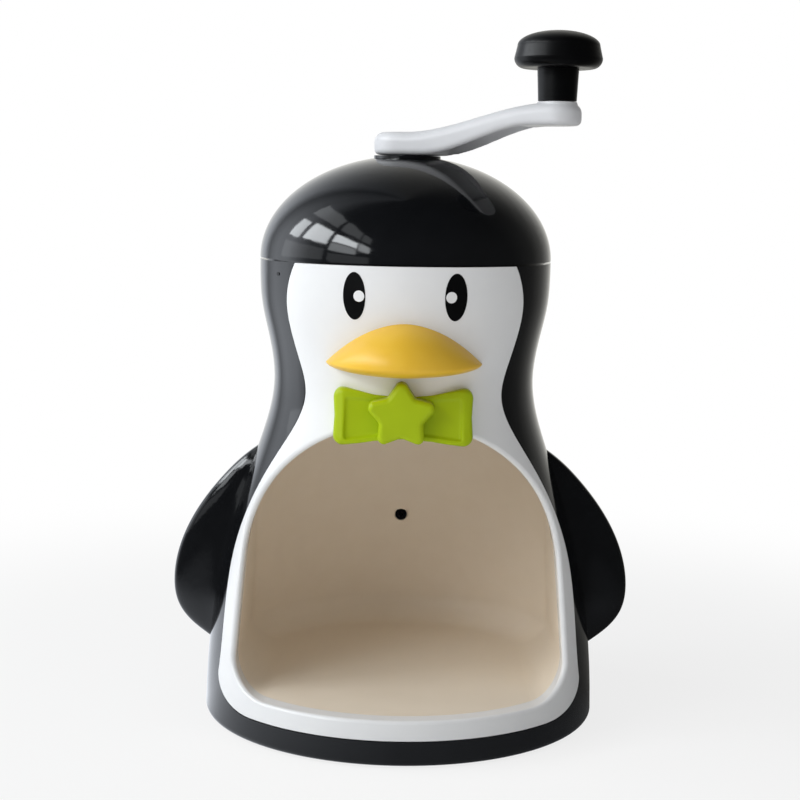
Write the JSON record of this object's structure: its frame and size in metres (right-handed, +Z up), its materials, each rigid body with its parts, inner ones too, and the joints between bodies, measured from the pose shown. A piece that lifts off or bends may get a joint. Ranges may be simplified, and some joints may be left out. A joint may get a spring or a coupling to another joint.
{
  "type": "ice shaver",
  "caption": "Hand cranked table-top ice shaver shaped as a penguin, with a lift-off head cap, a top crank with a turning knob, a sprung ice presser and an arched bowl bay.",
  "frame": {"origin": "on the table under the middle of the round base, on the axis of the crank", "axes": "+Z up along the crank axis, -Y towards the face and the open bowl bay, +X to the right as seen from the front"},
  "size_m": [0.2034, 0.1735, 0.299],
  "materials": {
    "black_abs": "gloss",
    "white_abs": "gloss",
    "white_satin_abs": "satin",
    "liner_abs": "satin",
    "beak_abs": "satin",
    "lime_abs": "satin",
    "knob_black": "satin",
    "eye_black": "gloss",
    "clear_san": "clear",
    "acetal": "satin",
    "stainless": "brushed",
    "spring_steel": "satin",
    "brass": "turned",
    "rubber": "matt"
  },
  "bodies": {
    "body": {"back_shell": "black_abs", "alignment_mark": "eye_black", "right_wing": "black_abs", "left_wing": "black_abs", "front_panel": "white_abs", "bay_liner": "liner_abs", "liner_screw": "stainless", "ice_chamber": "clear_san", "blade_plate": "stainless", "plate_screws": "stainless", "blade": "stainless", "blade_seat": "acetal", "blade_screws": "stainless", "bottom_plate": "black_abs", "bottom_screws": "stainless", "rubber_feet": "rubber", "left_eye": "eye_black", "left_eye_glint": "white_abs", "right_eye": "eye_black", "right_eye_glint": "white_abs", "beak": "beak_abs", "bow_tie": "lime_abs", "bow_star": "lime_abs"},
    "cap": {"head_cap": "black_abs", "cap_plate": "acetal", "cap_screws": "stainless", "upper_bushing": "acetal", "lower_bushing": "acetal"},
    "crank": {"drive_shaft": "stainless", "crank_arm": "white_satin_abs", "hub_screw": "stainless", "hub_plug": "white_satin_abs", "arm_insert": "brass", "knob_pin": "stainless", "spring_washer": "stainless", "shaft_clip": "stainless", "presser_spring": "spring_steel"},
    "knob": {"knob_grip": "knob_black", "knob_cap": "knob_black"},
    "presser": {"presser": "acetal", "presser_spikes": "stainless"}
  },
  "joints": [
    {"name": "cap_lift", "type": "slide", "parent": "body", "child": "cap", "axis": [0, 0, 1], "range_m": [0, 0.065]},
    {"name": "crank_spin", "type": "hinge", "parent": "cap", "child": "crank", "pos_m": [0, 0, 0.2522], "axis": [0, 0, 1], "continuous": true},
    {"name": "knob_spin", "type": "hinge", "parent": "crank", "child": "knob", "pos_m": [0.06217, -0.02899, 0.276], "axis": [0, 0, 1], "continuous": true},
    {"name": "presser_slide", "type": "slide", "parent": "crank", "child": "presser", "axis": [0, 0, 1], "range_m": [0, 0.044], "stiffness_N_per_m": 60, "springref_m": -0.02, "deforming": ["presser_spring"]}
  ]
}
